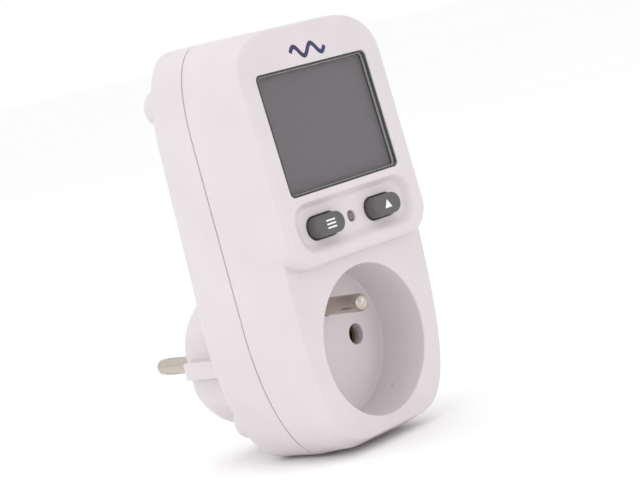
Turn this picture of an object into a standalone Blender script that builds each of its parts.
"""Plug-in power meter with a French-type socket in front and a European plug behind.

Metres, +Z up, +Y towards the wall, +X to the right seen from the front. The origin is the point
midway between the two plug pins on the plug's engagement face, so the socket and the plug share
the Y axis. Everything that is parallel to the tilted bezel hangs on one empty, bezel_frame.
"""

import math

import bmesh
import bpy
from mathutils import Vector

# Standard plug and socket sizes, which also set the scale of the whole object.
PIN_R = 0.0024
PIN_SPACING = 0.019
PIN_LENGTH = 0.019
EARTH_Z = 0.010
RECESS_MOUTH_R = 0.0200
RECESS_FLOOR_R = 0.0196
RECESS_DEPTH = 0.0146
PIN_HOLE_R = 0.0028
PLUG_BASE_R = 0.01975
PLUG_FLAT_X = 0.0181

# Case: stations along Y.
FACE_Y = -0.053
CREASE_Y = -0.0447
BACK_Y = -0.019
SEAM_Y = -0.036
SEAM_SLOPE = 0.04
WALL = 0.002
GAP = 0.0003
OUTLINE_STEPS = 10
BACK_FILLET = 0.004

# The case seen from the front, at the seam and at the face: half width, top, bottom,
# then the reach in x, the reach in z and the squareness of its shoulders and of its foot.
SEAM_LINE = (0.0295, 0.0847, -0.0265, 0.0114, 0.0249, 2.4, 0.0173, 0.0378, 2.0)
FACE_LINE = (0.0280, 0.0844, -0.0238, 0.0181, 0.0124, 2.4, 0.0222, 0.0597, 3.6)
CREASE_FORWARD = 0.4

# Bezel: its own frame has +Y into the case and +Z up its face.
BEZEL_TILT = math.atan(0.0842)
BEZEL_CENTRE = (0.0, -0.054425, 0.05772)
BEZEL_LINE = (0.0286, 0.0266, -0.0347, 0.0178, 0.0124, 2.4, 0.0075, 0.0065, 2.0)
BEZEL_EDGE = 0.0008
BEZEL_REACH_Y = 0.0090
SCREEN_W = 0.044
SCREEN_H = 0.032
SCREEN_CORNER_R = 0.0015

# Button pad, in the bezel frame.
PAD_Z = -0.0248
PAD_HALF_W = 0.0238
PAD_HALF_H = 0.0070
PAD_DEPTH = 0.0017
PAD_SLOPE = 0.0026
PAD_INNER_Y = 0.0034
BUTTON_X = 0.0117
BUTTON_W = 0.0118
BUTTON_H = 0.0055
BUTTON_FRONT = -0.0007
RESET_HOLE_R = 0.0015
PLUNGER_TIP_Y = 0.0053
SWITCH_FRONT = 0.0060
SWITCH_HALF_W = 0.0030
SWITCH_WELL_R = 0.0020
PLUNGER_R = 0.0017

# Display stack, in the bezel frame: half sizes and stations.
PANEL_HALF = (0.0224, 0.0166)
PANEL_SPAN_Y = (0.0034, 0.0056)
HOLDER_OUTER = (0.0239, 0.0183)
HOLDER_INNER = (0.0227, 0.0169)
HOLDER_SPAN_Y = (0.0037, 0.0086)
POCKET_HALF_W = 0.0242
ZEBRA_Z = 0.0155
ZEBRA_SPAN_Y = (0.0059, 0.0086)
CELL_Z = -0.0145
CELL_R = 0.0058

# Boards and fasteners.
BOARD_T = 0.0016
DISPLAY_BOARD_Y = 0.0089
POWER_BOARD_Y = -0.0310
POWER_BOARD_SPAN = (0.027, 0.077)
BOARD_NOTCH_W = 0.0172
STANDOFF = (0.018, 0.032)
TOP_SCREW = (0.022, 0.071)
BOTTOM_SCREW = (0.017, -0.015)
FOOT_R = 0.0048
FOOT_Y = BACK_Y + 0.0035
SCREW_R = 0.0013
SCREW_HEAD_R = 0.0023
SCREW_HOLE_R = 0.0016
SCREW_POST_R = 0.0036
SCREW_BOSS_R = 0.0042
COUNTERBORE_R = 0.0026
HEAD_SEAT_Y = -0.024
LINK_Y = -0.0234
LINK_T = 0.001

# Contacts and plug.
CONTACT_R = 0.0031
CONTACT_BORE_R = 0.00255
CONTACT_REAR_Y = -0.0237
CARRIER_SPAN_Y = (-0.0358, -0.0238)
PLUG_BORE_R = 0.0175
PLUG_ROUND = (0.00215, 0.0055)
PIN_PLATE_R = 0.0172
PIN_PLATE_Y = -0.0130
CLIP_SLOT_X = 0.0036
CLIP_SLOT_Y = (-0.0156, -0.0016)

MATERIALS = {
    "white_plastic": ((0.80, 0.77, 0.78), 0.42, 0.0),
    "clear_plastic": ((0.75, 0.78, 0.76), 0.08, 0.0),
    "display_glass": ((0.18, 0.18, 0.19), 0.20, 0.0),
    "button_plastic": ((0.10, 0.10, 0.105), 0.50, 0.0),
    "reset_plastic": ((0.22, 0.19, 0.17), 0.55, 0.0),
    "nickel": ((0.72, 0.69, 0.64), 0.25, 1.0),
    "brass": ((0.78, 0.60, 0.30), 0.30, 1.0),
    "zinc_steel": ((0.60, 0.61, 0.62), 0.35, 1.0),
    "circuit_board": ((0.05, 0.22, 0.09), 0.45, 0.0),
    "chip_black": ((0.03, 0.03, 0.03), 0.50, 0.0),
    "capacitor_yellow": ((0.75, 0.55, 0.10), 0.45, 0.0),
    "capacitor_sleeve": ((0.04, 0.05, 0.16), 0.35, 0.0),
    "varistor_blue": ((0.05, 0.16, 0.45), 0.40, 0.0),
    "shunt_alloy": ((0.62, 0.48, 0.36), 0.35, 1.0),
    "elastomer": ((0.75, 0.45, 0.42), 0.70, 0.0),
    "insulator_white": ((0.72, 0.71, 0.68), 0.55, 0.0),
    "ribbon_grey": ((0.45, 0.46, 0.48), 0.60, 0.0),
}


def clear_scene():
    for old in list(bpy.data.objects):
        bpy.data.objects.remove(old)


def material(name):
    if name in bpy.data.materials:
        return bpy.data.materials[name]
    colour, roughness, metallic = MATERIALS[name]
    made = bpy.data.materials.new(name)
    made.use_nodes = True
    shader = made.node_tree.nodes["Principled BSDF"]
    shader.inputs["Base Color"].default_value = (*colour, 1.0)
    shader.inputs["Roughness"].default_value = roughness
    shader.inputs["Metallic"].default_value = metallic
    return made


# Outlines: lists of (x, z) points, counter-clockwise from +X.

def squared_arc(centre, reach, power, start_deg, steps):
    """A quarter of a superellipse; power 2 is an ellipse, more is squarer."""
    points = []
    for i in range(steps + 1):
        angle = math.radians(start_deg + 90 * i / steps)
        c, s = math.cos(angle), math.sin(angle)
        x = math.copysign(abs(c) ** (2 / power), c)
        z = math.copysign(abs(s) ** (2 / power), s)
        points.append((centre[0] + reach[0] * x, centre[1] + reach[1] * z))
    return points


def outline_of(line, inset=0.0):
    """Squared shoulders above and a rounded foot below, from nine values like SEAM_LINE's."""
    half_w, top, bottom, shoulder_x, shoulder_z, shoulder_power, foot_x, foot_z, foot_power = line
    half_w, top, bottom = half_w - inset, top - inset, bottom + inset
    quarters = (
        (1, half_w - shoulder_x, top - shoulder_z, (shoulder_x, shoulder_z), shoulder_power, 0),
        (-1, half_w - shoulder_x, top - shoulder_z, (shoulder_x, shoulder_z), shoulder_power, 90),
        (-1, half_w - foot_x, bottom + foot_z, (foot_x, foot_z), foot_power, 180),
        (1, half_w - foot_x, bottom + foot_z, (foot_x, foot_z), foot_power, 270),
    )
    points = []
    for side, x, z, reach, power, start in quarters:
        points += squared_arc((side * x, z), reach, power, start, OUTLINE_STEPS)
    return points


def case_outline(forward=0.0, inset=0.0):
    """The case's outline: forward is 0 at the seam and 1 at the face."""
    line = [a + (b - a) * forward for a, b in zip(SEAM_LINE, FACE_LINE)]
    return outline_of(line, inset)


def rounded_rect(half_w, low, high, radius, low_radius=None, steps=6):
    low_radius = radius if low_radius is None else low_radius
    corners = [
        ((half_w - radius, high - radius), radius, 0),
        ((radius - half_w, high - radius), radius, 90),
        ((low_radius - half_w, low + low_radius), low_radius, 180),
        ((half_w - low_radius, low + low_radius), low_radius, 270),
    ]
    points = []
    for centre, r, start in corners:
        points += squared_arc(centre, (r, r), 2, start, steps)
    return points


def box_outline(x0, x1, z0, z1):
    return [(x1, z1), (x0, z1), (x0, z0), (x1, z0)]


def disc_outline(radius, x=0.0, z=0.0, steps=32):
    turn = 2 * math.pi / steps
    return [(x + radius * math.cos(turn * i), z + radius * math.sin(turn * i)) for i in range(steps)]


# Solids: each function adds one closed body to a bmesh.

def loft(bm, sections):
    """Joins (outline, y) sections of equal point count and caps both ends; y may depend on z."""
    rings = []
    for outline, y in sections:
        depth = y if callable(y) else (lambda _z, y=y: y)
        rings.append([bm.verts.new((px, depth(pz), pz)) for px, pz in outline])
    for a, b in zip(rings, rings[1:]):
        for i in range(len(a)):
            j = (i + 1) % len(a)
            bm.faces.new((a[i], a[j], b[j], b[i]))
    bm.faces.new(rings[0])
    bm.faces.new(rings[-1])


def slab(bm, outline, y0, y1):
    loft(bm, [(outline, y0), (outline, y1)])


def turned(bm, profile, x=0.0, z=0.0, steps=28, closed=False):
    """Turns (radius, y) points about the line through (x, z); a closed profile makes a tube."""
    rings = []
    for radius, y in profile:
        if radius == 0:
            rings.append([bm.verts.new((x, y, z))])
        else:
            rings.append([bm.verts.new((px, y, pz)) for px, pz in disc_outline(radius, x, z, steps)])
    pairs = list(zip(rings, rings[1:]))
    if closed:
        pairs.append((rings[-1], rings[0]))
    for a, b in pairs:
        for i in range(steps):
            j = (i + 1) % steps
            corners = dict.fromkeys([a[i % len(a)], a[j % len(a)], b[j % len(b)], b[i % len(b)]])
            if len(corners) > 2:
                bm.faces.new(list(corners))


def rod(bm, radius, y0, y1, x=0.0, z=0.0, steps=28):
    turned(bm, [(0, y0), (radius, y0), (radius, y1), (0, y1)], x, z, steps)


def tube(bm, outer, inner, y0, y1, x=0.0, z=0.0, steps=28):
    turned(bm, [(outer, y0), (outer, y1), (inner, y1), (inner, y0)], x, z, steps, closed=True)


def rounded_end(radius, tip, direction, steps=4):
    """Profile points of a rounded rod end, from its side to its tip on the axis."""
    points = []
    for i in range(steps + 1):
        angle = math.pi / 2 * i / steps
        reach = radius * math.cos(angle) if i < steps else 0
        points.append((reach, tip + direction * radius * (math.sin(angle) - 1)))
    return points


def box(bm, x0, x1, y0, y1, z0, z1):
    slab(bm, box_outline(x0, x1, z0, z1), y0, y1)


# Objects.

def make(name, bm, material_name=None, parent=None, location=(0, 0, 0)):
    bmesh.ops.recalc_face_normals(bm, faces=bm.faces)
    mesh = bpy.data.meshes.new(name)
    bm.to_mesh(mesh)
    bm.free()
    made = bpy.data.objects.new(name, mesh)
    bpy.context.scene.collection.objects.link(made)
    made.location = location
    made.parent = parent
    if material_name:
        made.data.materials.append(material(material_name))
        mesh.shade_smooth()
        mesh.set_sharp_from_angle(angle=math.radians(35))
    return made


def piece(name, material_name, build, parent=None, location=(0, 0, 0)):
    bm = bmesh.new()
    build(bm)
    return make(name, bm, material_name, parent, location)


def combine(target, operation, label, build, parent=None):
    """Adds or removes the solid that build makes, through a hidden helper object."""
    bm = bmesh.new()
    build(bm)
    helper = make(f"{target.name}_{label}", bm, None, parent)
    helper.hide_render = True
    helper.display_type = "WIRE"
    step = target.modifiers.new(label, "BOOLEAN")
    step.operation = operation
    step.solver = "EXACT"
    step.object = helper


def cut(target, label, build, parent=None):
    combine(target, "DIFFERENCE", label, build, parent)


def fuse(target, label, build, parent=None):
    combine(target, "UNION", label, build, parent)


def seam(offset):
    return lambda z: SEAM_Y + SEAM_SLOPE * z + offset


def crease(z):
    """The soft ridge round the front shell runs forward at the top and at the foot."""
    low = min(max((0.012 - z) / 0.024, 0), 1)
    high = min(max((z - 0.074) / 0.010, 0), 1)
    return CREASE_Y - 0.0035 * low - 0.0030 * high


def screw_places():
    return [(sx * px, pz) for px, pz in (TOP_SCREW, BOTTOM_SCREW) for sx in (-1, 1)]


# Front shell.

def front_skin(bm):
    loft(bm, [
        (case_outline(1.0, 0.0010), FACE_Y),
        (case_outline(1.0, 0.0003), FACE_Y + 0.0003),
        (case_outline(1.0), FACE_Y + 0.0010),
        (case_outline(CREASE_FORWARD), crease),
        (case_outline(CREASE_FORWARD / 2), lambda z: crease(z) + 0.0012),
        (case_outline(), seam(-GAP / 2)),
    ])


def front_hollow(bm):
    loft(bm, [
        (case_outline(1.0, WALL + 0.0010), FACE_Y + WALL),
        (case_outline(CREASE_FORWARD, WALL), lambda z: crease(z) + 0.0010),
        (case_outline(0.0, WALL), seam(0.001)),
    ])


def bezel_block(bm):
    full, quarter = outline_of(BEZEL_LINE), BEZEL_EDGE / 4
    loft(bm, [(outline_of(BEZEL_LINE, BEZEL_EDGE), 0.0), (outline_of(BEZEL_LINE, quarter), quarter),
              (full, BEZEL_EDGE), (full, BEZEL_REACH_Y)])


def pad_recess(bm):
    low, high = PAD_Z - PAD_HALF_H, PAD_Z + PAD_HALF_H
    mouth = rounded_rect(PAD_HALF_W, low, high, 0.006)
    floor = rounded_rect(PAD_HALF_W - PAD_SLOPE, low + PAD_SLOPE, high - PAD_SLOPE, 0.0040)
    above = rounded_rect(PAD_HALF_W + 0.0006, low - 0.0006, high + 0.0006, 0.0063)
    loft(bm, [(above, -0.0004), (mouth, 0.0), (floor, PAD_DEPTH)])


def stadium(width, height, grow=0.0, steps=8):
    radius = height / 2 + grow
    return rounded_rect(width / 2 + grow, -radius, radius, radius * 0.999, steps=steps)


def shifted(outline, x, z):
    return [(px + x, pz + z) for px, pz in outline]


def display_pockets(shell, bezel):
    """The openings and pockets of the display and the keys, all square to the bezel."""
    screen = rounded_rect(SCREEN_W / 2, -SCREEN_H / 2, SCREEN_H / 2, SCREEN_CORNER_R, steps=4)
    behind_screen = rounded_rect(POCKET_HALF_W, -0.0176, 0.0219, 0.002, steps=3)
    behind_pad = rounded_rect(POCKET_HALF_W, -0.0327, -0.0140, 0.002, steps=3)
    cut(shell, "display_pocket", lambda bm: slab(bm, behind_screen, WALL, 0.0082), bezel)
    cut(shell, "pad_pocket", lambda bm: slab(bm, behind_pad, PAD_INNER_Y, 0.0076), bezel)
    cut(shell, "screen", lambda bm: slab(bm, screen, -0.001, 0.003), bezel)
    cut(shell, "pad", pad_recess, bezel)
    for label, side in (("left", -1), ("right", 1)):
        opening = shifted(stadium(BUTTON_W, BUTTON_H, GAP), side * BUTTON_X, PAD_Z)
        cut(shell, f"button_{label}", lambda bm, o=opening: slab(bm, o, 0.0005, 0.005), bezel)
    cut(shell, "pinhole", lambda bm: rod(bm, RESET_HOLE_R, 0.0005, 0.005, 0, PAD_Z, 20), bezel)


def front_posts(shell):
    """Four screw posts; the upper two also have a web to the side wall."""
    post_length, web_x, web_half = 0.0085, 0.0278, 0.001
    for label, (px, pz) in zip("abcd", screw_places()):
        rear = seam(-GAP)(pz)
        fuse(shell, f"post_{label}", lambda bm, px=px, pz=pz, rear=rear:
             rod(bm, SCREW_POST_R, rear - post_length, rear, px, pz, 20))
        if pz > 0:
            web = sorted((px, math.copysign(web_x, px)))
            fuse(shell, f"web_{label}", lambda bm, web=web, pz=pz, rear=rear:
                 box(bm, *web, rear - post_length + 0.0005, rear - web_half, pz - web_half, pz + web_half))
        cut(shell, f"thread_{label}", lambda bm, px=px, pz=pz, rear=rear:
            rod(bm, SCREW_HOLE_R, rear - 0.0075, rear + 0.001, px, pz, 16))


def socket_recess(shell):
    floor_y = FACE_Y + RECESS_DEPTH
    rim = 0.0004
    profile = [(0, FACE_Y - 0.001), (RECESS_MOUTH_R + rim, FACE_Y - 0.001), (RECESS_MOUTH_R + rim, FACE_Y),
               (RECESS_MOUTH_R, FACE_Y + rim), (RECESS_FLOOR_R, floor_y), (0, floor_y)]
    holes = ((PIN_HOLE_R, -PIN_SPACING / 2, 0), (PIN_HOLE_R, PIN_SPACING / 2, 0), (PIN_R + GAP, 0, EARTH_Z))
    cut(shell, "recess", lambda bm: turned(bm, profile, steps=56))
    cut(shell, "contact_holes", lambda bm: [
        rod(bm, radius, floor_y - 0.001, floor_y + 0.003, px, pz, 24) for radius, px, pz in holes])


def front_shell(bezel):
    above_bezel = (-0.04, 0.04, -0.01, 0.00005, 0.010, 0.04)
    cup_rear = FACE_Y + RECESS_DEPTH + WALL
    shell = piece("front_shell", "white_plastic", front_skin)
    cut(shell, "bezel_plane", lambda bm: box(bm, *above_bezel), bezel)
    fuse(shell, "bezel", bezel_block, bezel)
    cut(shell, "hollow", front_hollow)
    display_pockets(shell, bezel)
    fuse(shell, "cup", lambda bm: rod(bm, RECESS_MOUTH_R + 0.0016, FACE_Y + 0.0012, cup_rear, steps=56))
    front_posts(shell)
    socket_recess(shell)


# Rear shell with the plug base.

def rear_skin(bm):
    steps = 4
    sections = [(case_outline(), seam(GAP / 2)), (case_outline(), BACK_Y - BACK_FILLET)]
    for i in range(1, steps + 1):
        angle = math.pi / 2 * i / steps
        inset = BACK_FILLET * (1 - math.cos(angle))
        y = BACK_Y - BACK_FILLET * (1 - math.sin(angle))
        sections.append((case_outline(0.0, inset), y))
    loft(bm, sections)


def rear_hollow(bm):
    loft(bm, [(case_outline(0.0, WALL), seam(-0.002)), (case_outline(0.0, WALL), BACK_Y - BACK_FILLET),
              (case_outline(0.0, WALL + 0.0015), BACK_Y - WALL)])


def plug_base(bm):
    steps = 5
    round_r, round_y = PLUG_ROUND

    def cheeked(radius):
        return [(max(-PLUG_FLAT_X, min(PLUG_FLAT_X, x)), z) for x, z in disc_outline(radius, steps=56)]

    sections = [(cheeked(PLUG_BASE_R), BACK_Y - 0.001)]
    for i in range(steps + 1):
        angle = math.pi / 2 * i / steps
        radius = PLUG_BASE_R - round_r * (1 - math.cos(angle))
        sections.append((cheeked(radius), round_y * (math.sin(angle) - 1)))
    loft(bm, sections)


def foot(bm, px, pz):
    steps, rim_r = 4, 0.0018
    rim = []
    for i in range(steps + 1):
        angle = math.pi / 2 * i / steps
        rim.append((FOOT_R - rim_r + rim_r * math.cos(angle), FOOT_Y - rim_r + rim_r * math.sin(angle)))
    turned(bm, [(0, BACK_Y - 0.001), (FOOT_R, BACK_Y - 0.001)] + rim + [(0, FOOT_Y)], px, pz, 24)


def screw_bore(bm, px, pz):
    front, rear = -0.040, FOOT_Y + 0.001
    turned(bm, [(0, front), (SCREW_HOLE_R, front), (SCREW_HOLE_R, HEAD_SEAT_Y), (COUNTERBORE_R, HEAD_SEAT_Y),
                (COUNTERBORE_R, rear), (0, rear)], px, pz, 18)


def rear_shell():
    standoff_r, standoff_hole_r = 0.0024, 0.0012
    rib_x, rib_y, rib_z = (0.0178, 0.0201), (-0.0160, -0.0014), (-0.0023, 0.0025)
    clip_slot_z = (0.0165, 0.0210)
    shell = piece("rear_shell", "white_plastic", rear_skin)
    cut(shell, "hollow", rear_hollow)
    fuse(shell, "plug_base", plug_base)
    for label, side in (("left", -1), ("right", 1)):
        low, high = sorted(side * x for x in rib_x)
        fuse(shell, f"rib_{label}", lambda bm, low=low, high=high: box(bm, low, high, *rib_y, *rib_z))
    for label, (px, pz) in zip("abcd", screw_places()):
        fuse(shell, f"foot_{label}", lambda bm, px=px, pz=pz: foot(bm, px, pz))
        fuse(shell, f"boss_{label}", lambda bm, px=px, pz=pz:
             rod(bm, SCREW_BOSS_R, seam(GAP)(pz), BACK_Y - 0.001, px, pz, 20))
    for label, side in (("left", -1), ("right", 1)):
        place = (side * STANDOFF[0], STANDOFF[1])
        fuse(shell, f"standoff_{label}", lambda bm, place=place:
             rod(bm, standoff_r, POWER_BOARD_Y + BOARD_T + GAP, BACK_Y - 0.001, *place, 16))
        cut(shell, f"standoff_hole_{label}", lambda bm, place=place:
            rod(bm, standoff_hole_r, -0.0300, BACK_Y - 0.004, *place, 12))
    for label, side in (("top", 1), ("bottom", -1)):
        low, high = sorted(side * z for z in clip_slot_z)
        cut(shell, f"clip_slot_{label}", lambda bm, low=low, high=high:
            box(bm, -CLIP_SLOT_X, CLIP_SLOT_X, *CLIP_SLOT_Y, low, high))
    cut(shell, "base_bore", lambda bm: rod(bm, PLUG_BORE_R, BACK_Y - 0.004, 0.001, steps=56))
    cut(shell, "screw_bores", lambda bm: [screw_bore(bm, px, pz) for px, pz in screw_places()])


# Display stack, all in the bezel frame.

def display_window(bm):
    half_w, half_h, flange = SCREEN_W / 2, SCREEN_H / 2, 0.0009
    front, step, rear = 0.0003, WALL + GAP, WALL + 0.0011
    pane = rounded_rect(half_w - GAP, GAP - half_h, half_h - GAP, 0.0013, steps=4)
    behind = rounded_rect(half_w + flange, -half_h - flange, half_h + flange, 0.0013, steps=4)
    loft(bm, [(pane, front), (pane, step), (behind, step), (behind, rear)])


def frame_ring(bm, outer, inner, y0, y1):
    """A flat rectangular frame; outer and inner are (half width, half height)."""
    rings = []
    for (w, h), y in ((outer, y0), (outer, y1), (inner, y1), (inner, y0)):
        rings.append([bm.verts.new((px, y, pz)) for px, pz in box_outline(-w, w, -h, h)])
    for a, b in zip(rings, rings[1:] + rings[:1]):
        for i in range(4):
            bm.faces.new((a[i], a[(i + 1) % 4], b[(i + 1) % 4], b[i]))


def notched_board(bm, half_w, low, high, notch_w, notch_z, y0):
    """A board whose two top corners step in to clear the screw posts."""
    outline = [(half_w, low), (half_w, notch_z), (notch_w, notch_z), (notch_w, high),
               (-notch_w, high), (-notch_w, notch_z), (-half_w, notch_z), (-half_w, low)]
    slab(bm, outline, y0, y0 + BOARD_T)


def display_stack(bezel):
    rear = DISPLAY_BOARD_Y + BOARD_T + GAP
    panel_w, panel_h = PANEL_HALF
    chip = (-0.007, 0.007, rear, rear + 0.0016, -0.002, 0.012)
    cell_box = (-0.0075, 0.0075, rear, rear + 0.004, CELL_Z - 0.0075, CELL_Z + 0.0075)
    crystal = shifted(stadium(0.008, 0.0034), 0.0145, 0.005)
    piece("display_window", "clear_plastic", display_window, bezel)
    piece("display_panel", "display_glass",
          lambda bm: box(bm, -panel_w, panel_w, *PANEL_SPAN_Y, -panel_h, panel_h), bezel)
    piece("display_holder", "insulator_white",
          lambda bm: frame_ring(bm, HOLDER_OUTER, HOLDER_INNER, *HOLDER_SPAN_Y), bezel)
    for label, side in (("top", 1), ("bottom", -1)):
        span_z = (side * ZEBRA_Z - 0.001, side * ZEBRA_Z + 0.001)
        piece(f"zebra_strip_{label}", "elastomer",
              lambda bm, span_z=span_z: box(bm, -0.0215, 0.0215, *ZEBRA_SPAN_Y, *span_z), bezel)
    piece("display_board", "circuit_board", lambda bm:
          notched_board(bm, 0.0238, -0.0322, 0.0200, BOARD_NOTCH_W, 0.0085, DISPLAY_BOARD_Y), bezel)
    piece("controller_chip", "chip_black", lambda bm: box(bm, *chip), bezel)
    piece("quartz_crystal", "zinc_steel", lambda bm: slab(bm, crystal, rear, rear + 0.0030), bezel)
    holder = piece("cell_holder", "chip_black", lambda bm: box(bm, *cell_box), bezel)
    cut(holder, "seat", lambda bm: rod(bm, CELL_R + 0.0004, rear + 0.0010, rear + 0.006, 0, CELL_Z), bezel)
    piece("backup_cell", "zinc_steel",
          lambda bm: rod(bm, CELL_R, rear + 0.0013, rear + 0.0063, 0, CELL_Z), bezel)


# Buttons and their switches, in the bezel frame, each with its origin on its own axis.

def button_cap(bm):
    flange_y, stem = PAD_INNER_Y + GAP, stadium(0.0032, 0.0032)
    flange = stadium(BUTTON_W, BUTTON_H, 0.0009)
    loft(bm, [
        (stadium(BUTTON_W, BUTTON_H, -0.0007), BUTTON_FRONT),
        (stadium(BUTTON_W, BUTTON_H, -0.0002), BUTTON_FRONT + 0.0003),
        (stadium(BUTTON_W, BUTTON_H), BUTTON_FRONT + 0.0009),
        (stadium(BUTTON_W, BUTTON_H), flange_y),
        (flange, flange_y), (flange, flange_y + 0.0006), (stem, flange_y + 0.0006), (stem, PLUNGER_TIP_Y),
    ])


def reset_cap(bm):
    tip_y, flange_y = 0.0024, PAD_INNER_Y + GAP
    turned(bm, [(0, tip_y), (0.0009, tip_y), (0.0011, tip_y + 0.0002), (0.0011, flange_y), (0.0022, flange_y),
                (0.0022, flange_y + 0.0006), (0.0012, flange_y + 0.0006), (0.0012, PLUNGER_TIP_Y),
                (0, PLUNGER_TIP_Y)], steps=20)


def switch_housing(bm):
    half = SWITCH_HALF_W
    box(bm, -half, half, SWITCH_FRONT, DISPLAY_BOARD_Y - GAP, -half, half)


def tact_switch(label, place, bezel):
    well_floor, plunger_rear = 0.0079, 0.0072
    housing = piece(f"{label}_switch", "chip_black", switch_housing, bezel, place)
    cut(housing, "well", lambda bm:
        rod(bm, SWITCH_WELL_R, SWITCH_FRONT - 0.001, well_floor, place[0], place[2], 20), bezel)
    piece(f"{label}_plunger", "reset_plastic",
          lambda bm: rod(bm, PLUNGER_R, SWITCH_FRONT - 0.0004, plunger_rear, steps=20), bezel, place)


def buttons(bezel):
    for label, x in (("mode", -BUTTON_X), ("up", BUTTON_X)):
        place = (x, 0, PAD_Z)
        piece(f"{label}_button", "button_plastic", button_cap, bezel, place)
        tact_switch(label, place, bezel)
    place = (0, 0, PAD_Z)
    piece("reset_button", "reset_plastic", reset_cap, bezel, place)
    tact_switch("reset", place, bezel)


# Power board and what stands on its front face.

def varistor(bm):
    """A disc on edge: turned about Y, then laid so that its axis runs along X."""
    radius, left, right, y, z = 0.0042, 0.0160, 0.0200, -0.0360, 0.0460
    rod(bm, radius, left, right, -y, z)
    for v in bm.verts:
        v.co = Vector((v.co.y, -v.co.x, v.co.z))


def strip(bm, outline, across):
    """A bent strip or leaf: its outline swept straight along the third axis; across places a point."""
    ends = [[bm.verts.new(across(a, b, end)) for a, b in outline] for end in (0, 1)]
    for i in range(len(outline)):
        j = (i + 1) % len(outline)
        bm.faces.new((ends[0][i], ends[0][j], ends[1][j], ends[1][i]))
    bm.faces.new(ends[0])
    bm.faces.new(ends[1])


def current_shunt(bm):
    """A bridge of flat alloy strip, standing on two legs."""
    left, right, thick, span_z = 0.0120, 0.0205, 0.0010, (0.0355, 0.0395)
    top, foot_y = POWER_BOARD_Y - 0.0062, POWER_BOARD_Y - GAP
    path = [(left, foot_y), (left, top), (right, top), (right, foot_y), (right - thick, foot_y),
            (right - thick, top + thick), (left + thick, top + thick), (left + thick, foot_y)]
    strip(bm, path, lambda px, py, end: (px, py, span_z[end]))


def ribbon(bm):
    """A flat cable from board to board, sagging in a half wave between them."""
    half_w, thick, steps = 0.006, 0.0008, 10
    start, end = (-0.0400, 0.0690), (POWER_BOARD_Y - GAP, 0.0730)
    rings = []
    for i in range(steps + 1):
        t = i / steps
        y = start[0] + (end[0] - start[0]) * t
        z = start[1] + (end[1] - start[1]) * t + 0.0012 * math.sin(math.pi * t)
        rings.append([bm.verts.new(c) for c in ((-half_w, y, z), (half_w, y, z),
                                                (half_w, y, z + thick), (-half_w, y, z + thick))])
    for a, b in zip(rings, rings[1:]):
        for i in range(4):
            bm.faces.new((a[i], a[(i + 1) % 4], b[(i + 1) % 4], b[i]))
    bm.faces.new(rings[0])
    bm.faces.new(rings[-1])


def board_screw(bm, px, pz):
    front, tip = POWER_BOARD_Y - GAP, -0.0270
    turned(bm, [(0, front - 0.0014), (0.0022, front - 0.0014), (0.0022, front), (0.0009, front),
                (0.0009, tip), (0, tip)], px, pz, 18)


def power_electronics():
    front = POWER_BOARD_Y - GAP
    low, high = POWER_BOARD_SPAN
    film, bridge, meter = (-0.021, -0.003), (-0.0200, -0.0135), (-0.0080, 0.0080)
    board = piece("power_board", "circuit_board", lambda bm:
                  notched_board(bm, 0.0240, low, high, BOARD_NOTCH_W, 0.0662, POWER_BOARD_Y))
    cut(board, "screw_holes", lambda bm: [
        rod(bm, 0.0014, POWER_BOARD_Y - 0.001, POWER_BOARD_Y + 0.003, side * STANDOFF[0], STANDOFF[1], 16)
        for side in (-1, 1)])
    piece("film_capacitor", "capacitor_yellow",
          lambda bm: box(bm, *film, front - 0.0080, front, 0.052, 0.065))
    piece("electrolytic_capacitor", "capacitor_sleeve",
          lambda bm: rod(bm, 0.0050, front - 0.0085, front, 0.007, 0.059))
    piece("varistor", "varistor_blue", varistor)
    piece("rectifier", "chip_black", lambda bm: box(bm, *bridge, front - 0.0026, front, 0.0400, 0.0465))
    piece("metering_chip", "chip_black", lambda bm: box(bm, *meter, front - 0.0022, front, 0.0380, 0.0455))
    piece("current_shunt", "shunt_alloy", current_shunt)
    piece("ribbon_cable", "ribbon_grey", ribbon)
    for label, side in (("left", -1), ("right", 1)):
        piece(f"board_screw_{label}", "zinc_steel",
              lambda bm, side=side: board_screw(bm, side * STANDOFF[0], STANDOFF[1]))


# Current path: plug pins, contacts and links.

def plug_pin(bm, x):
    """A solid pin with a collar that sits between the link and the pin plate."""
    inner = LINK_Y + LINK_T + GAP
    collar_r, collar_y = 0.0036, (-0.0160, -0.0133)
    profile = [(0, inner), (PIN_R, inner), (PIN_R, collar_y[0]), (collar_r, collar_y[0]),
               (collar_r, collar_y[1]), (PIN_R, collar_y[1])]
    turned(bm, profile + rounded_end(PIN_R, PIN_LENGTH, 1), x, 0, 28)


def socket_contact(bm, x):
    """A turned sleeve that grips the pin of the plug in front; its rear end is closed."""
    mouth_y, lead_in, rear_wall = -0.0352, 0.0006, 0.0013
    profile = [(CONTACT_R, mouth_y), (CONTACT_R, CONTACT_REAR_Y), (0, CONTACT_REAR_Y),
               (0, CONTACT_REAR_Y - rear_wall), (CONTACT_BORE_R, CONTACT_REAR_Y - rear_wall),
               (CONTACT_BORE_R, mouth_y + lead_in), (CONTACT_R - GAP, mouth_y)]
    turned(bm, profile, x, 0, 28, closed=True)


def earth_pin(bm):
    tip = FACE_Y + 0.0008
    collar_r, collar_y = 0.0038, (-0.0353, -0.0338)
    profile = rounded_end(PIN_R, tip, -1)[::-1]
    profile += [(PIN_R, collar_y[0]), (collar_r, collar_y[0]), (collar_r, collar_y[1]), (PIN_R, collar_y[1]),
                (PIN_R, CONTACT_REAR_Y), (0, CONTACT_REAR_Y)]
    turned(bm, profile, 0, EARTH_Z, 28)


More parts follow.
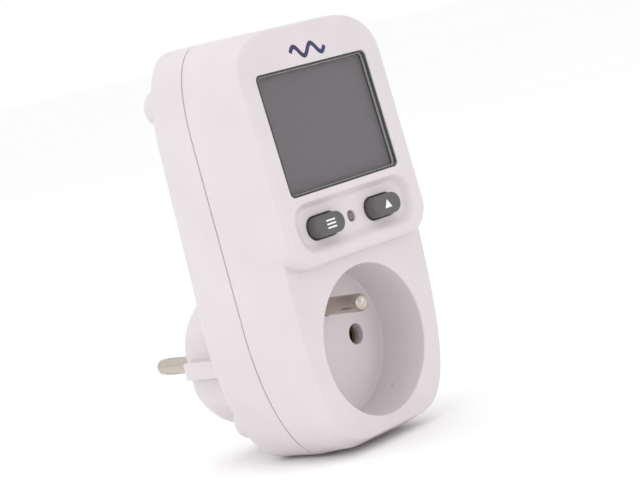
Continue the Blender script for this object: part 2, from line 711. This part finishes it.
def contact_carrier():
    outline = rounded_rect(0.0155, -0.0075, 0.0160, 0.005)
    front, rear, step = CARRIER_SPAN_Y[0] - 0.0012, CARRIER_SPAN_Y[1] + 0.0018, -0.0335
    seat_r, shaft_r = 0.0041, PIN_R + GAP
    carrier = piece("contact_carrier", "insulator_white", lambda bm: slab(bm, outline, *CARRIER_SPAN_Y))
    cut(carrier, "contacts", lambda bm: [
        rod(bm, CONTACT_R + GAP, front, rear, side * PIN_SPACING / 2, 0, 28) for side in (-1, 1)])
    cut(carrier, "earth", lambda bm: turned(
        bm, [(0, front), (seat_r, front), (seat_r, step), (shaft_r, step), (shaft_r, rear), (0, rear)],
        0, EARTH_Z, 28))


def pin_carrier():
    edge, clip_notch_z = 0.0004, (0.0160, 0.0180)
    pin_hole, earth_hole = PIN_R + GAP, 0.0035
    holes = ((pin_hole, -PIN_SPACING / 2, 0), (pin_hole, PIN_SPACING / 2, 0), (earth_hole, 0, EARTH_Z))
    carrier = piece("pin_carrier", "insulator_white", lambda bm: turned(
        bm, [(0, PIN_PLATE_Y), (PIN_PLATE_R, PIN_PLATE_Y), (PIN_PLATE_R, -edge), (PIN_PLATE_R - edge, 0.0),
             (0, 0.0)], steps=56))
    for label, side in (("top", 1), ("bottom", -1)):
        low, high = sorted(side * z for z in clip_notch_z)
        cut(carrier, f"clip_{label}", lambda bm, low=low, high=high:
            box(bm, -CLIP_SLOT_X, CLIP_SLOT_X, PIN_PLATE_Y - 0.001, CLIP_SLOT_Y[1], low, high))
    cut(carrier, "holes", lambda bm: [
        rod(bm, radius, PIN_PLATE_Y - 0.001, 0.001, px, pz, 28) for radius, px, pz in holes])


def earth_clip(bm, side):
    """A flat leaf in the base's slot, folded inwards at its front end."""
    leaf_out, leaf_in, fold_in, half_w = 0.0188, 0.0178, 0.0150, 0.0031
    rear, fold_rear, front = -0.0020, -0.0143, -0.0152
    path = [(rear, leaf_out), (rear, leaf_in), (fold_rear, leaf_in), (fold_rear, fold_in), (front, fold_in),
            (front, leaf_out)]
    strip(bm, path, lambda py, pz, end: ((-half_w, half_w)[end], py, side * pz))


def current_path():
    link_rear = LINK_Y + LINK_T
    for label, side in (("live", -1), ("neutral", 1)):
        x = side * PIN_SPACING / 2
        piece(f"{label}_pin", "nickel", lambda bm, x=x: plug_pin(bm, x))
        piece(f"{label}_contact", "brass", lambda bm, x=x: socket_contact(bm, x))
        piece(f"{label}_link", "brass",
              lambda bm, x=x: box(bm, x - 0.003, x + 0.003, LINK_Y, link_rear, -0.003, 0.034))
    piece("earth_pin", "nickel", earth_pin)
    piece("earth_socket", "brass",
          lambda bm: tube(bm, 0.0032, CONTACT_BORE_R, link_rear + GAP, -0.0004, 0, EARTH_Z))
    piece("earth_strap", "brass", lambda bm: box(bm, -0.003, 0.003, LINK_Y, link_rear, -0.014, 0.0150))
    for label, side in (("top", 1), ("bottom", -1)):
        piece(f"earth_clip_{label}", "nickel", lambda bm, side=side: earth_clip(bm, side))
    contact_carrier()
    pin_carrier()


def case_screw(bm, px, pz):
    seat = HEAD_SEAT_Y + GAP
    tip = SEAM_Y + SEAM_SLOPE * pz - 0.0070
    turned(bm, [(0, tip), (0.0008, tip), (SCREW_R, tip + 0.001), (SCREW_R, seat), (SCREW_HEAD_R, seat),
                (SCREW_HEAD_R, seat + 0.0012), (0.0015, seat + 0.0018), (0, seat + 0.0018)], px, pz, 20)


def case_screws():
    for px, pz in screw_places():
        side = "left" if px < 0 else "right"
        level = "top" if pz > 0 else "bottom"
        piece(f"case_screw_{level}_{side}", "zinc_steel", lambda bm, px=px, pz=pz: case_screw(bm, px, pz))


def build():
    clear_scene()
    bezel = bpy.data.objects.new("bezel_frame", None)
    bpy.context.scene.collection.objects.link(bezel)
    bezel.location = BEZEL_CENTRE
    bezel.rotation_euler = (-BEZEL_TILT, 0, 0)
    front_shell(bezel)
    rear_shell()
    display_stack(bezel)
    buttons(bezel)
    power_electronics()
    current_path()
    case_screws()


build()
